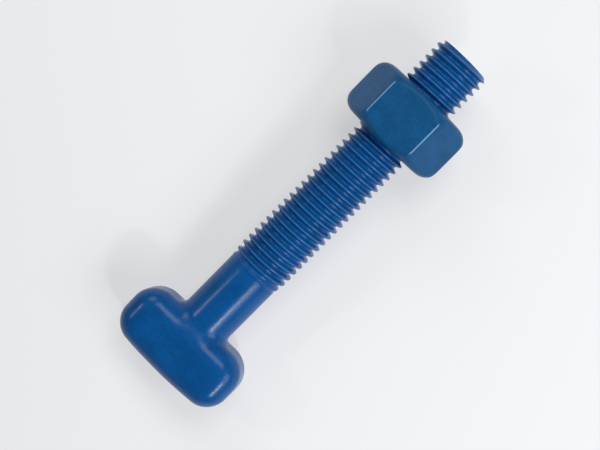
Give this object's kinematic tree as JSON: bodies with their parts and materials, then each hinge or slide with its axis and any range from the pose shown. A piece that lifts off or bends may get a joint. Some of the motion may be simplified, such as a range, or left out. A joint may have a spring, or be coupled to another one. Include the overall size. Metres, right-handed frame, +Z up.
{
  "type": "t-head bolt with nut",
  "caption": "Forged T-head bolt with a coarse thread and a heavy hex nut, both in a blue fluoropolymer coat, for slots and bolted pipe joints",
  "frame": {"origin": "middle of the underside of the whole part's box, on the surface that it lies on", "axes": "the bolt lies along X with its head at -X and its tip at +X, raised 3.70 degrees at the tip end because the nut is thicker than the head; the wings of the head lie along Y; +Z is up"},
  "size_m": [0.1339, 0.0422, 0.0325],
  "materials": {
    "coated_bolt": "steel under a blue fluoropolymer coat, satin with a light orange peel",
    "coated_nut": "steel under a blue fluoropolymer coat, satin, a little duller than the bolt"
  },
  "bodies": {
    "bolt": {"t_head_bolt": "coated_bolt"},
    "nut": {"hex_nut": "coated_nut"}
  },
  "joints": [
    {"name": "nut_travel", "type": "slide", "parent": "bolt", "child": "nut", "axis": [0.9979, 0, 0.0645], "range_m": [-0.05334, 0.01524]}
  ]
}
